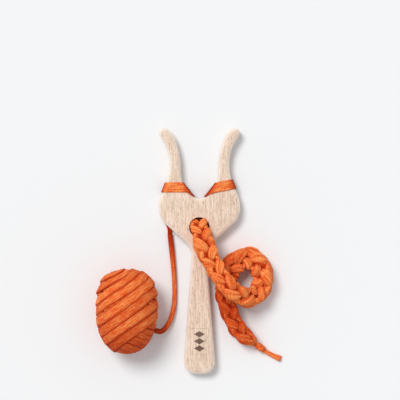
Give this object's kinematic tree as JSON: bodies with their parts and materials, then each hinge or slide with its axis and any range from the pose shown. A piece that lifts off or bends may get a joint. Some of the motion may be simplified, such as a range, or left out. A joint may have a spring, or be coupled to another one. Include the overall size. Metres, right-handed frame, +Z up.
{
  "type": "lucet",
  "caption": "Two-horned wooden cord-making fork with a handle, tape yarn looped on both horns, a thick plaited cord leaving its hole and a ball of yarn beside it.",
  "frame": {"origin": "on the table under the middle of the fork's length and width", "axes": "+X across the fork to the right horn, +Y from the handle to the horns, +Z up from the table"},
  "size_m": [0.1372, 0.18, 0.0455],
  "materials": {
    "beech_wood": "pale beech, sanded and oiled to a low sheen",
    "tape_yarn": "bright orange knitted cotton tape, matt with a soft sheen",
    "plaited_cord": "the same orange tape drawn up into plump square stitches"
  },
  "bodies": {
    "root": {"fork": "beech_wood", "left_horn_loop": "tape_yarn", "right_horn_loop": "tape_yarn", "working_yarn": "tape_yarn", "yarn_ball_winding": "tape_yarn", "yarn_ball_core": "tape_yarn", "lucet_cord": "plaited_cord", "cast_on_end": "plaited_cord", "cast_on_knot": "tape_yarn", "cut_tail": "tape_yarn"}
  },
  "joints": []
}
